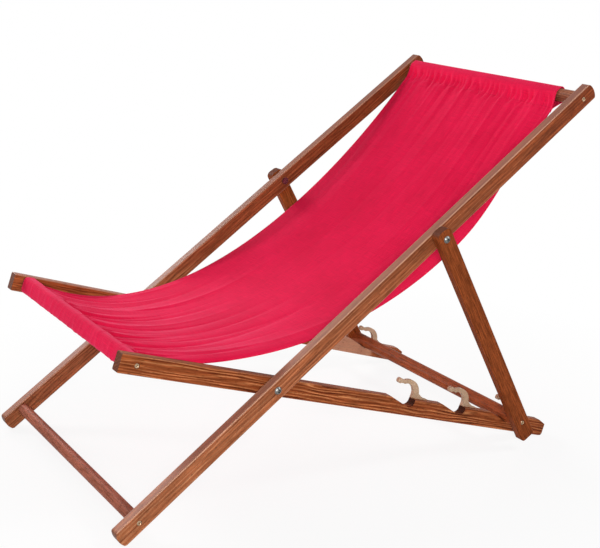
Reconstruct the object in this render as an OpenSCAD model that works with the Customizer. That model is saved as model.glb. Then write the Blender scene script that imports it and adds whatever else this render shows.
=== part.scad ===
// Folding beach chair with a canvas sling.
// Two timber frames cross on a pair of pivots. A swinging prop hangs behind the backrest,
// and its bar lies in one of three pairs of notches, each guarded by a moulded hook.
// X runs across the chair with +X at the sitter's left, the front faces -Y, and the floor is z = 0.

/* [Long frame] */
// Foot bar screw to the seat pivot, along the long rail
foot_to_pivot = 334; // [325:1:345]
// Seat pivot to the prop pivot, along the long rail
pivot_to_prop = 432; // [428:1:436]
// Prop pivot to the head bar screw, along the long rail
prop_to_head = 434; // [420:1:445]
// Long rail left over in front of the foot bar screw
foot_over = 44; // [36:1:50]
// Long rail left over beyond the head bar screw
head_over = 30; // [24:1:40]

/* [Seat frame] */
// Seat pivot to the front bar screw, along the seat rail
front_to_pivot = 283; // [270:1:286]
// Seat rail left over in front of the front bar screw
front_over = 33; // [26:1:36]
// Seat pivot to the rear end of the seat rail
rear_reach = 748; // [735:1:770]
// Clear width between the two seat rails
clear_width = 485; // [460:1:520]

/* [Prop frame] */
// Prop pivot to the prop bar, along the prop leg
prop_reach = 491.5; // [489:0.5:494]
// Prop leg left over beyond the prop bar
prop_over = 43; // [34:1:48]
// Prop leg left over above its pivot
prop_top = 20; // [18:1:26]

/* [Timber] */
// Depth of every rail and leg
rail_d = 35; // [34:0.5:37]
// Thickness of every rail and leg
rail_t = 20; // [18:0.5:24]
// Rounding of the rail ends that meet the floor
end_r = 8; // [6:0.5:10]
// Radius of the crown between the two rounds on each end of a long rail
crown_r = 30; // [28:1:60]
// Rounding of the long edges
edge_r = 2.5; // [1.5:0.5:3.5]
// Rounding at the top of a prop leg
top_r = 12; // [9:0.5:14]
// Longer side of a cross bar's section
bar_w = 29; // [27.5:0.5:29.5]
// Shorter side of a cross bar's section
bar_t = 23; // [22:0.5:23]
// Slanting cut on the upper corner at the rear of a seat rail, along the rail
chamfer_run = 20; // [12:1:26]
// Slanting cut on the upper corner at the rear of a seat rail, down its end
chamfer_drop = 8; // [4:1:12]

/* [Notches] */
// Seat pivot to the rearmost notch, along the seat rail
notch_reach = 627.5; // [625:0.5:630]
// Distance from one notch to the next
notch_pitch = 143; // [138:1:150]
// Radius of a notch's round bottom
notch_r = 12.5; // [12.5:0.1:13]
// Depth of the centre of that round below the rail's top edge
notch_sink = 4.2; // [3.8:0.1:4.6]
// Slope of a notch's ramp, against the rail
ramp_angle = 18; // [16.5:0.5:18.5]

/* [Hooks] */
// Thickness of a hook
hook_t = 8; // [6:0.5:10]
// Radius of a hook's inner curve
hook_in_r = 21.4; // [21:0.1:21.8]
// Radius of a hook's outer curve
hook_out_r = 32.4; // [31:0.1:32.5]
// Radius of the round end of a hook
hook_tip_r = 5.4; // [4:0.1:5.4]
// Reach of a hook's foot behind its notch
hook_foot = 55; // [50:1:60]
// Thickness of the foot at its end
hook_foot_t = 1.8; // [1.4:0.1:3]
// Radius of the hollow along the top of the foot
hook_foot_r = 45; // [42:1:50]
// Distance of a hook's screw behind its notch
hook_screw_at = 40; // [36:1:44]

/* [Canvas] */
// Gap between the canvas and each seat rail
cloth_gap = 2.5; // [1:0.5:20]
// Thickness of the canvas
cloth_t = 1.5; // [1:0.1:1.8]
// How far the canvas has slid sideways on the head bar
cloth_shift = 17; // [0:1:20]
// Play between a bar and the sleeve round it
sleeve_play = 0.5; // [0.4:0.1:0.9]
// Centre of a bar to the seam of its sleeve
sleeve_reach = 34; // [30:1:42]
// How far the backrest's curve is pulled forwards from the head bar
back_forward = 215; // [200:1:235]
// How far the backrest's curve is pulled down from the head bar
back_down = 284; // [265:1:305]
// How far the seat's curve is pulled back from the front bar
seat_back = 367; // [345:1:390]
// How far the seat's curve is pulled down from the front bar
seat_down = 133; // [118:1:150]
// Extra pull on the backrest's curve at the sitter's left edge, forwards and down
back_skew = 18; // [0:1:60]
// Extra pull on the seat's curve at the sitter's left edge, back
seat_skew = 104; // [0:1:120]
// Lift of the seat's curve at the sitter's left edge
seat_lift = 58; // [0:1:80]
// How much shorter the seat's pull is at the left edge, which hangs deeper than the rest
edge_seat_short = 132; // [0:1:150]
// How much the seat's pull is lifted at the left edge
edge_seat_lift = 37; // [0:1:50]
// How much further the backrest's pull goes forwards at the left edge
edge_back_forward = 43; // [0:1:60]
// How much further the backrest's pull goes down at the left edge
edge_back_down = 146; // [0:1:160]
// Height of the long creases near the front bar
crease = 2.4; // [0:0.1:4]
// Sag of the middle of the canvas below its two edges
cross_sag = 3; // [0:0.5:5]

/* [Fittings] */
// Gap between neighbouring rails, filled by a washer
rail_gap = 2.5; // [2.3:0.1:3.5]
// Radius of a pivot bolt
bolt_r = 4; // [3:0.25:5]
// Running clearance round a pivot bolt
bolt_play = 0.08; // [0.05:0.01:0.1]
// Radius of a pivot bolt's domed head
bolt_head_r = 7.5; // [7:0.25:9]
// Height of a pivot bolt's domed head
bolt_head_h = 4.2; // [3.5:0.1:5]
// Radius of the round socket in a pivot bolt's head
bolt_socket_r = 2.9; // [2.4:0.1:3.4]
// Height of the flat nut on a pivot bolt
nut_h = 2.2; // [1.8:0.1:2.3]
// Radius of the flat nut
nut_r = 8; // [7:0.25:9]
// Radius of a washer
washer_r = 10; // [8:0.5:12]
// Radius of a wood screw's shank
screw_r = 2.2; // [1.8:0.1:2.6]
// Radius of a wood screw's head
screw_head_r = 4.6; // [4:0.1:5.5]
// Radius of the round socket in a wood screw's head
screw_socket_r = 2.5; // [2:0.1:2.9]
// Length of a wood screw inside its bar
screw_len = 34; // [25:1:45]
// Depth of a wood screw's head below the face of the rail
screw_sink = 2; // [1.5:0.1:3]
// Radius of a hook's screw
hook_screw_r = 1.6; // [1.3:0.1:2]
// Depth of a hook's screw in the rail
hook_screw_len = 15; // [12:1:18]
// Radius of the round head of a hook's screw
hook_head_r = 2.7; // [2.4:0.1:3.2]
// Height of the round head of a hook's screw
hook_head_h = 1.5; // [1.2:0.1:2]

/* [Hidden] */
$fn = 48;
face_gap = 0.1;    // air between a washer and the rails beside it
screw_play = 0.05; // air round a screw's shank
head_play = 0.1;   // air round a screw's head in its counterbore
nut_play = 0.02;   // air between a bolt and its nut
bolt_short = 0.3;  // a bolt ends this far inside its nut
screw_rim = 0.8;   // straight side of a wood screw's head
screw_dome = 1.6;  // rounded top of a wood screw's head
screw_socket = 1.8; // depth of the socket in a wood screw's head
bolt_socket = 2.6; // depth of the socket in a pivot bolt's head
spare = 1;         // a cut runs this far past the face it opens
floor_cut = 0.5;   // worn flat on each of the four feet
crown_dip = 0.1;   // the rounds on a rail's end stand this far outside its crown
big = 4000;
wood = "#97583a";
wood_dark = "#8a4c2e";
steel = "#c3c3c0";
nylon = "#b99f85";
crimson = "#dc2350";

// Rails, from the middle of the chair outwards
seat_in = clear_width / 2;
seat_out = seat_in + rail_t;
long_in = seat_out + rail_gap;
long_out = long_in + rail_t;
prop_in = long_out + rail_gap;
prop_out = prop_in + rail_t;

// The prop bar at rest in the rearmost notch, in the seat rail's own frame.
// Its centre lies a little in front of the centre of the notch's round bottom, and above it.
half_d = rail_d / 2;
notch_n = half_d - notch_sink;
bar_ahead = 1.9;
bar_rise = 3.4;
bar_s = notch_reach - bar_ahead;
bar_n = notch_n + bar_rise;
bar_dist = sqrt(bar_s * bar_s + bar_n * bar_n);

// The three sides of the triangle between the pivots and the prop bar give the opening
open_angle = acos((pivot_to_prop ^ 2 + bar_dist ^ 2 - prop_reach ^ 2) / (2 * pivot_to_prop * bar_dist))
  + atan2(bar_n, bar_s);
leg_angle = atan2(bar_n - pivot_to_prop * sin(open_angle), bar_s - pivot_to_prop * cos(open_angle));

// Both frames stand on round ends, so the line between those two rounds is level
corner = half_d - end_r;
foot_round = [end_r - foot_over, -corner];
rear_round = [
  foot_to_pivot + (rear_reach - end_r) * cos(open_angle) - corner * sin(open_angle),
  -(rear_reach - end_r) * sin(open_angle) - corner * cos(open_angle)
];
rail_tilt = atan2(foot_round.y - rear_round.y, rear_round.x - foot_round.x);
seat_slope = open_angle - rail_tilt;
prop_slope = seat_slope - leg_angle;
head_s = foot_to_pivot + pivot_to_prop + prop_to_head;
front_most = (end_r - foot_over) * cos(rail_tilt) - corner * sin(rail_tilt) - end_r;
rear_most = (head_s + head_over - end_r) * cos(rail_tilt) + corner * sin(rail_tilt) + end_r;
foot_y = -(front_most + rear_most) / 2;
foot_z = end_r - floor_cut - foot_round.x * sin(rail_tilt) - foot_round.y * cos(rail_tilt);

// A point at s along a rail and n above its middle, as [y, z]
function along(from, angle, s, n) = from + s * [cos(angle), sin(angle)] + n * [-sin(angle), cos(angle)];
function on_back(s, n) = along([foot_y, foot_z], rail_tilt, s, n);
pivot_at = on_back(foot_to_pivot, 0);
prop_at = on_back(foot_to_pivot + pivot_to_prop, 0);
head_at = on_back(head_s, 0);
front_at = along(pivot_at, -seat_slope, -front_to_pivot, 0);

notch_at = [for (k = [2:-1:0]) notch_reach - k * notch_pitch];

// Frames of the three timber frames: y runs along the rail, z across its depth
module in_back() {
  translate([0, foot_y, foot_z]) rotate([rail_tilt, 0, 0]) children();
}

module in_seat() {
  translate([0, pivot_at.x, pivot_at.y]) rotate([-seat_slope, 0, 0]) children();
}

module in_prop() {
  translate([0, prop_at.x, prop_at.y]) rotate([-prop_slope, 0, 0]) children();
}

module both_sides() {
  for (side = [0, 1]) mirror([side, 0, 0]) children();
}

// An outline drawn as along and across a rail, given a thickness over x
module plate(x_from, thick) {
  translate([x_from, 0, 0]) rotate([90, 0, 90]) linear_extrude(thick) children();
}

module rod(x_from, x_to, r) {
  translate([x_from, 0, 0]) rotate([0, 90, 0]) cylinder(h = x_to - x_from, r = r);
}

module half_plank(length, r) {
  translate([0, -half_d]) square([length - r, rail_d]);
  translate([0, r - half_d]) square([length, rail_d - 2 * r]);
  for (y = [r - half_d, half_d - r]) translate([length - r, y]) circle(r = r);
}

// Crown on the end of a long rail: an arc that crosses both of the end's rounds at a slight angle
module crown(length) {
  apart = crown_r - end_r + crown_dip;
  centre = length - end_r - sqrt(apart ^ 2 - corner ^ 2);
  half_w = corner * crown_r / apart;
  intersection() {
    translate([centre, 0]) circle(r = crown_r, $fn = 192);
    translate([length - end_r, -half_w]) square([2 * end_r, 2 * half_w]);
  }
}

module plank(back, ahead, back_r, ahead_r) {
  half_plank(ahead, ahead_r);
  mirror([1, 0]) half_plank(back, back_r);
}

// Section of every rail and leg, with its four long edges rounded
module timber_section() {
  translate([edge_r, 0]) square([rail_t - 2 * edge_r, rail_d]);
  translate([0, edge_r]) square([rail_t, rail_d - 2 * edge_r]);
  for (x = [edge_r, rail_t - edge_r])
    for (y = [edge_r, rail_d - edge_r]) translate([x, y]) circle(r = edge_r);
}

// A timber of that section, cut to the outline that is passed to it
module timber(x_from, back, ahead) {
  intersection() {
    plate(x_from, rail_t) children();
    translate([x_from, ahead + spare, -half_d]) rotate([90, 0, 0])
      linear_extrude(back + ahead + 2 * spare) timber_section();
  }
}

module below_floor() {
  translate([-big / 2, -big / 2, -big]) cube([big, big, big]);
}

// Hole for a bar's screw: through the rail, with a wide mouth for its head
module screw_hole(x_in, x_out) {
  rod(x_in - spare, x_out + spare, screw_r + screw_play);
  rod(x_out - screw_sink, x_out + spare, screw_head_r + head_play);
}

// Low dome on the plane x = 0, bulging towards +x
module dome(r, h) {
  ball_r = (r * r + h * h) / (2 * h);
  rotate([0, 90, 0]) rotate_extrude() intersection() {
    translate([0, h - ball_r]) circle(r = ball_r, $fn = 96);
    square([r, h]);
  }
}

// Screw through the rail that ends at x_out into the bar that ends at x_in
module bar_screw(x_in, x_out) {
  seat = x_out - screw_sink;
  difference() {
    union() {
      rod(x_in - screw_len, seat, screw_r);
      rod(seat, seat + screw_rim, screw_head_r);
      translate([seat + screw_rim, 0, 0]) dome(screw_head_r, screw_dome);
    }
    rod(seat + screw_rim + screw_dome - screw_socket, x_out + screw_dome + spare, screw_socket_r);
  }
}

// Bar with round long edges, its long side turned by the given angle from z
module bar(half, turn) {
  flat = (bar_w - bar_t) / 2;
  difference() {
    plate(-half, 2 * half) rotate(turn) {
      for (y = [-flat, flat]) translate([0, y]) circle(d = bar_t, $fn = 96);
      translate([-bar_t / 2, -flat]) square([bar_t, 2 * flat]);
    }
    both_sides() rod(half - screw_len - spare, half + spare, screw_r + screw_play);
  }
}

// Bolt with a domed head at x_out and its end inside the nut at x_in
module pivot_bolt(x_in, x_out) {
  top = x_out + face_gap + bolt_head_h;
  difference() {
    union() {
      rod(x_in - nut_h + bolt_short, x_out + face_gap, bolt_r);
      translate([x_out + face_gap, 0, 0]) dome(bolt_head_r, bolt_head_h);
    }
    rod(top - bolt_socket, top + spare, bolt_socket_r);
  }
}

module pivot_washer(x_in) {
  difference() {
    rod(x_in + face_gap, x_in + rail_gap - face_gap, washer_r);
    rod(x_in - spare, x_in + rail_gap + spare, bolt_r + bolt_play);
  }
}

module pivot_nut(x_in) {
  difference() {
    rod(x_in - face_gap - nut_h, x_in - face_gap, nut_r);
    rod(x_in - nut_h, x_in + spare, bolt_r + nut_play);
  }
}

module long_rail() {
  color(wood) difference() {
    in_back() difference() {
      timber(long_in, foot_over + end_r, head_s + head_over + end_r) {
        plank(foot_over, head_s + head_over, end_r, end_r);
        crown(head_s + head_over);
        mirror([1, 0]) crown(foot_over);
      }
      screw_hole(long_in, long_out);
      translate([0, head_s, 0]) screw_hole(long_in, long_out);
      for (s = [foot_to_pivot, foot_to_pivot + pivot_to_prop])
        translate([0, s, 0]) rod(long_in - spare, long_out + spare, bolt_r + bolt_play);
    }
    below_floor();
  }
}

// Round bottom, upright rear wall and ramp, with the round's centre at the origin
module notch() {
  foot_of_ramp = notch_r * [-sin(ramp_angle), -cos(ramp_angle)];
  rise = 2 * rail_d;
  run = rise / tan(ramp_angle);
  circle(r = notch_r);
  polygon([
    foot_of_ramp, [0, 0], [notch_r, 0], [notch_r, foot_of_ramp.y + rise],
    foot_of_ramp + [-run, rise]
  ]);
}

module seat_rail() {
  front = front_to_pivot + front_over;
  color(wood) difference() {
    in_seat() difference() {
      timber(seat_in, front, rear_reach) difference() {
        plank(front, rear_reach, edge_r, end_r);
        translate([rear_reach, half_d]) polygon([
          [spare, spare], [-chamfer_run, spare], [-chamfer_run, 0],
          [0, -chamfer_drop], [spare, -chamfer_drop]
        ]);
        for (s = notch_at) translate([s, notch_n]) notch();
      }
      translate([0, -front_to_pivot, 0]) screw_hole(seat_in, seat_out);
      rod(seat_in - spare, seat_out + spare, bolt_r + bolt_play);
      for (s = notch_at) translate([0, s, half_d]) hook_screw_hole();
    }
    below_floor();
  }
}

module prop_leg() {
  color(wood_dark) in_prop() difference() {
    timber(prop_in, prop_top, prop_reach + prop_over)
      plank(prop_top, prop_reach + prop_over, top_r, end_r);
    rod(prop_in - spare, prop_out + spare, bolt_r + bolt_play);
    translate([0, prop_reach, 0]) screw_hole(prop_in, prop_out);
  }
}

// Height of the top of a hook's foot at s behind its notch, and of its screw's counterbore
function foot_top(s) = hook_foot_t + hook_foot_r - sqrt(hook_foot_r ^ 2 - (hook_foot - s) ^ 2);
hook_seat = foot_top(hook_screw_at + hook_head_r) - head_play;

// Outline of a hook, measured from its notch's centre and from the rail's top edge
module hook_outline() {
  in_at = [-8, 6.2];
  out_at = [-4.2, 3.8];
  tip_at = [-30.2, 30.9];
  neck = -17;
  stem = 18;
  // Curved arm and stem
  intersection() {
    difference() {
      translate(out_at) circle(r = hook_out_r, $fn = 96);
      translate(in_at) circle(r = hook_in_r, $fn = 96);
    }
    translate([neck, 0]) square([2 * hook_out_r, 2 * hook_out_r]);
  }
  // Round end and the neck that carries it
  translate(tip_at) circle(r = hook_tip_r);
  polygon([
    [neck + 1, out_at.y + sqrt(hook_out_r ^ 2 - (neck + 1 - out_at.x) ^ 2) - 0.4],
    [tip_at.x, tip_at.y + 0.55 * hook_tip_r], [tip_at.x, tip_at.y - 0.75 * hook_tip_r],
    [neck + 1, in_at.y + sqrt(hook_in_r ^ 2 - (neck + 1 - in_at.x) ^ 2) + 0.6]
  ]);
  // Foot that thins out along the rail
  difference() {
    translate([stem, 0]) square([hook_foot - stem, foot_top(stem)]);
    translate([hook_foot, hook_foot_t + hook_foot_r]) circle(r = hook_foot_r, $fn = 96);
  }
}

// Place of a hook's screw, pointing up from its counterbore
module at_hook_screw() {
  translate([seat_in + hook_t / 2, hook_screw_at, hook_seat]) rotate([0, -90, 0]) children();
}

module hook_screw_hole() {
  at_hook_screw() {
    rod(-hook_seat - hook_screw_len - spare, spare, hook_screw_r + screw_play);
    rod(0, 2 * hook_head_r, hook_head_r + head_play);
  }
}

module hook(index) {
  color(nylon) in_seat() translate([0, notch_at[index], half_d]) difference() {
    plate(seat_in, hook_t) hook_outline();
    hook_screw_hole();
  }
}

// Round-headed screw in the counterbore of a hook's foot
module hook_screw() {
  at_hook_screw() {
    rod(-hook_seat - hook_screw_len, hook_head_h / 4, hook_screw_r);
    dome(hook_head_r, hook_head_h);
  }
}

// Path of the canvas in the y-z plane at v, from 0 at the sitter's right edge to 1 at the left.
// It starts under the front sleeve, goes round the front bar, down the seat, up the back and
// round the head bar.
cloth_w = clear_width - 2 * cloth_gap;
wrap_r = bar_t / 2 + sleeve_play + cloth_t / 2;
wrap_flat = (bar_w - bar_t) / 2;
wrap_steps = 12;
run_steps = 24;
cross_steps = 10;
seam_side = 8;      // a seam lies this far to one side of the run out of its bar
tail_gap = 4.5;     // the tail of a sleeve ends this far from the seam
crease_count = 3;
crease_lean = 40;   // degrees that a crease shifts sideways along the run
crease_rise = 0.06; // share of the run over which the creases grow
crease_fade = 0.35; // share of the run over which they die away
drift_from = 0.3;   // share of the run at which the canvas starts to drift
drift_over = 0.65;  // share of the run that the drift takes

function unit(p) = p / norm(p);
function side_of(p) = [-p.y, p.x];
function mix(a, b, t) = a + (b - a) * t;
function ease(t) = t <= 0 ? 0 : t >= 1 ? 1 : t * t * (3 - 2 * t);
function curve(a, b, c, d, t) =
  a * (1 - t) ^ 3 + 3 * b * t * (1 - t) ^ 2 + 3 * c * t ^ 2 * (1 - t) + d * t ^ 3;
function round_bar(centre, long_axis, angle) =
  centre + wrap_flat * sign(cos(angle - long_axis)) * [cos(long_axis), sin(long_axis)]
  + wrap_r * [cos(angle), sin(angle)];
function heading(p) = atan2(p.y, p.x);

// The left edge's share in a pull: 1 there, 0 in the middle and at the right edge
function left_edge(v) = 2 * v * (v - 0.5);

// Pulls on the curve at v, from the front bar and from the head bar
function seat_pull(v) =
  [seat_back, -seat_down] + (v - 0.5) * [seat_skew, seat_lift]
  + left_edge(v) * [-edge_seat_short, edge_seat_lift];
function back_pull(v) =
  [-back_forward, -back_down] + (v - 0.5) * [back_skew, -back_skew]
  - left_edge(v) * [edge_back_forward, edge_back_down];
function front_seam(v) =
  front_at + sleeve_reach * unit(seat_pull(v)) + seam_side * side_of(unit(seat_pull(v)));
function head_seam(v) =
  head_at + sleeve_reach * unit(back_pull(v)) - seam_side * side_of(unit(back_pull(v)));
function spread(seam, centre) = acos(wrap_r / norm(seam - centre));

function front_loop(v) = let (
    seam = front_seam(v),
    mid = heading(seam - front_at),
    half = spread(seam, front_at),
    from = mid + 360 - half,
    to = mid + half,
    loop = [for (k = [0:wrap_steps]) round_bar(front_at, 90 - seat_slope, mix(from, to, k / wrap_steps))]
  ) concat([seam + tail_gap * unit(loop[0] - seam)], loop);

function head_loop(v) = let (
    seam = head_seam(v),
    mid = heading(seam - head_at),
    half = spread(seam, head_at),
    from = mid - half,
    to = mid + half - 360,
    loop = [for (k = [0:wrap_steps]) round_bar(head_at, rail_tilt + 90, mix(from, to, k / wrap_steps))]
  ) concat(loop, [seam + tail_gap * unit(loop[wrap_steps] - seam)]);

function seat_run(v) = [
  for (k = [0:run_steps])
    curve(front_seam(v), front_at + seat_pull(v), head_at + back_pull(v), head_seam(v), k / run_steps)
];

function path(v) = concat(front_loop(v), seat_run(v), head_loop(v));
function path_normal(p, i) = side_of(unit(p[min(i + 1, len(p) - 1)] - p[max(i - 1, 0)]));

// Share of the run between the sleeves at row i of the path
function run_share(i) = (i - wrap_steps - 2) / run_steps;

// Long creases that die away from the front sleeve, and a slight sag across the width
function crease_at(i, v) = let (t = run_share(i))
  t <= 0 || t >= 1 ? 0
  : crease * sin(360 * crease_count * v + crease_lean * t) * ease(t / crease_rise)
    * (1 - ease(t / crease_fade)) - cross_sag * sin(180 * v) * sin(180 * t);

// The canvas keeps straight between the seat rails and drifts sideways up the backrest
function drift(i) = cloth_shift * ease((run_share(i) - drift_from) / drift_over);

function cloth_layer(side) = [
  for (j = [0:cross_steps]) let (v = j / cross_steps, p = path(v))
    for (i = [0:len(p) - 1]) let (q = p[i] + (side * cloth_t / 2 + crease_at(i, v)) * path_normal(p, i))
      [(v - 0.5) * cloth_w - drift(i), q.x, q.y]
];

module canvas() {
  rows = 2 * wrap_steps + run_steps + 5;
  layer = rows * (cross_steps + 1);
  upper = cloth_layer(1);
  lower = cloth_layer(-1);
  grid = [
    for (j = [0:cross_steps - 1]) for (i = [0:rows - 2]) let (a = j * rows + i, b = a + rows)
      each [[a, a + 1, b + 1], [a, b + 1, b]]
  ];
  under = [for (f = grid) [f[2] + layer, f[1] + layer, f[0] + layer]];
  // Selvedges first, then the two hems
  rims = concat(
    [for (i = [0:rows - 2]) each [[i + 1, i, i + layer], [i + 1, i + layer, i + 1 + layer]]],
    [for (i = [0:rows - 2]) let (a = cross_steps * rows + i)
      each [[a, a + 1, a + layer], [a + 1, a + 1 + layer, a + layer]]],
    [for (j = [0:cross_steps - 1]) let (a = j * rows, b = a + rows)
      each [[a, b, a + layer], [b, b + layer, a + layer]]],
    [for (j = [0:cross_steps - 1]) let (a = j * rows + rows - 1, b = a + rows)
      each [[b, a, a + layer], [b, a + layer, b + layer]]]
  );
  color(crimson) polyhedron(points = concat(upper, lower), faces = concat(grid, under, rims));
}

long_rail();  // long_rail_left
mirror([1, 0, 0]) long_rail();  // long_rail_right
color(wood) in_back() translate([0, head_s, 0]) bar(long_in, 0);  // head_bar
color(wood) in_back() bar(long_in, 0);  // foot_bar
color(steel) in_back() translate([0, head_s, 0]) both_sides() bar_screw(long_in, long_out);  // head_bar_screws
color(steel) in_back() both_sides() bar_screw(long_in, long_out);  // foot_bar_screws
seat_rail();  // seat_rail_left
mirror([1, 0, 0]) seat_rail();  // seat_rail_right
color(wood) in_seat() translate([0, -front_to_pivot, 0]) bar(seat_in, 0);  // front_bar
color(steel) in_seat() translate([0, -front_to_pivot, 0]) both_sides() bar_screw(seat_in, seat_out);  // front_bar_screws
hook(0);  // hook_left_front
hook(1);  // hook_left_middle
hook(2);  // hook_left_rear
mirror([1, 0, 0]) hook(0);  // hook_right_front
mirror([1, 0, 0]) hook(1);  // hook_right_middle
mirror([1, 0, 0]) hook(2);  // hook_right_rear
color(steel) both_sides() in_seat() for (s = notch_at) translate([0, s, half_d]) hook_screw();  // hook_screws
prop_leg();  // prop_leg_left
mirror([1, 0, 0]) prop_leg();  // prop_leg_right
color(wood_dark) in_prop() translate([0, prop_reach, 0]) bar(prop_in, 0);  // prop_bar
color(steel) in_prop() translate([0, prop_reach, 0]) both_sides() bar_screw(prop_in, prop_out);  // prop_bar_screws
color(steel) in_seat() both_sides() pivot_bolt(seat_in, long_out);  // seat_pivot_bolts
color(steel) in_seat() both_sides() pivot_washer(seat_out);  // seat_pivot_washers
color(steel) in_seat() both_sides() pivot_nut(seat_in);  // seat_pivot_nuts
color(steel) in_prop() both_sides() pivot_bolt(long_in, prop_out);  // prop_pivot_bolts
color(steel) in_prop() both_sides() pivot_washer(long_out);  // prop_pivot_washers
color(steel) in_prop() both_sides() pivot_nut(long_in);  // prop_pivot_nuts
canvas();  // canvas_sling
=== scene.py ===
"""Folding beach chair: two crossed hardwood frames, a swinging prop and a crimson canvas sling.

Lengths are metres, X runs across the chair with +X at the sitter's left, the front faces -Y.
"""
import math

import bmesh
import bpy
import numpy as np
from mathutils import Matrix, Vector


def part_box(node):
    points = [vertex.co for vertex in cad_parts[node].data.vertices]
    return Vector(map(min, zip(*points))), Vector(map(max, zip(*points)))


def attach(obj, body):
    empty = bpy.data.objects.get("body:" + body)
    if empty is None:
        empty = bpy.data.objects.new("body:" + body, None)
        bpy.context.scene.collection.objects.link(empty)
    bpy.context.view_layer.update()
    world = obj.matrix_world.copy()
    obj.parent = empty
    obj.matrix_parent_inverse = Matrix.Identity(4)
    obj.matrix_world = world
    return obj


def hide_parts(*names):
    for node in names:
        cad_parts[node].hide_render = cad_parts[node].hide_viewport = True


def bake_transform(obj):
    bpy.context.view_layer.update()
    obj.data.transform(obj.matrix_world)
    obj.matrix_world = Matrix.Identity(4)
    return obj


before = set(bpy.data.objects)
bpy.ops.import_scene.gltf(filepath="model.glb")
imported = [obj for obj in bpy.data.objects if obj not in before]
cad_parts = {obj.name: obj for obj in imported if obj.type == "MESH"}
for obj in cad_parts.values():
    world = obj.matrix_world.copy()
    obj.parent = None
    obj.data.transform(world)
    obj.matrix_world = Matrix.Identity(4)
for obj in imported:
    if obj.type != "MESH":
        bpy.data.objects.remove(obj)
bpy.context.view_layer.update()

rng = np.random.default_rng(41)
MM = 0.001


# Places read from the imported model, as (y, z) points in the side view

def axis_of(node):
    """Centre of a cross piece in the side view: the middle of its box."""
    low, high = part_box(node)
    return np.array([(low[1] + high[1]) / 2, (low[2] + high[2]) / 2])


def slope(a, b):
    """Angle of the line from a to b above the level, in radians."""
    return math.atan2(b[1] - a[1], b[0] - a[0])


head_at, foot_at, front_at = axis_of("head_bar"), axis_of("foot_bar"), axis_of("front_bar")
pivot_at, prop_at, rest_at = axis_of("seat_pivot_bolts"), axis_of("prop_pivot_bolts"), axis_of("prop_bar")
back_turn = slope(foot_at, head_at)
seat_turn = slope(front_at, pivot_at)
prop_turn = slope(prop_at, rest_at)


# Camera at the photograph's angle

def set_camera():
    """Pin-hole camera, fitted to the edges in the photograph: its axes are right, up and back."""
    data = bpy.data.cameras.new("camera")
    data.lens, data.sensor_width = 70.13, 36
    data.shift_x, data.shift_y = 0.0021, -0.0723
    camera = bpy.data.objects.new("camera", data)
    right = Vector((0.54679, 0.83540, 0.05584)).normalized()
    back = Vector((0.80488, -0.54284, 0.23975)).normalized()
    up = back.cross(right)
    place = (1.93325, -1.29663, 1.01935)
    turn = Matrix((right, up, back)).transposed().to_4x4()
    camera.matrix_world = Matrix.Translation(place) @ turn
    bpy.context.collection.objects.link(camera)
    bpy.context.scene.camera = camera


# Material helpers

# A wave texture at scale 1 has a stripe every 0.314 units
STRIPE = 0.31416


def linear(code):
    """sRGB hex colour to the linear colour that a shader takes."""
    srgb = np.array([int(code[k:k + 2], 16) for k in (1, 3, 5)]) / 255
    value = np.where(srgb <= 0.04045, srgb / 12.92, ((srgb + 0.055) / 1.055) ** 2.4)
    return (*value.tolist(), 1.0)


def grey(value):
    """Linear colour with all three parts the same."""
    return (value, value, value, 1.0)


def new_material(name):
    """Empty material and its node tree."""
    material = bpy.data.materials.new(name)
    material.use_nodes = True
    material.node_tree.nodes.clear()
    return material, material.node_tree


def add(tree, kind, inputs=None, stops=None, **settings):
    """Adds one node. An input takes a value, or another node's socket, which is linked to it."""
    node = tree.nodes.new("ShaderNode" + kind)
    for name, value in settings.items():
        setattr(node, name, value)
    if stops:
        marks = node.color_ramp.elements
        while len(marks) < len(stops):
            marks.new(1.0)
        for mark, (position, colour) in zip(marks, stops):
            mark.position, mark.color = position, colour
    for name, value in (inputs or {}).items():
        if isinstance(value, bpy.types.NodeSocket):
            tree.links.new(value, node.inputs[name])
        else:
            node.inputs[name].default_value = value
    return node


# Materials

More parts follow.
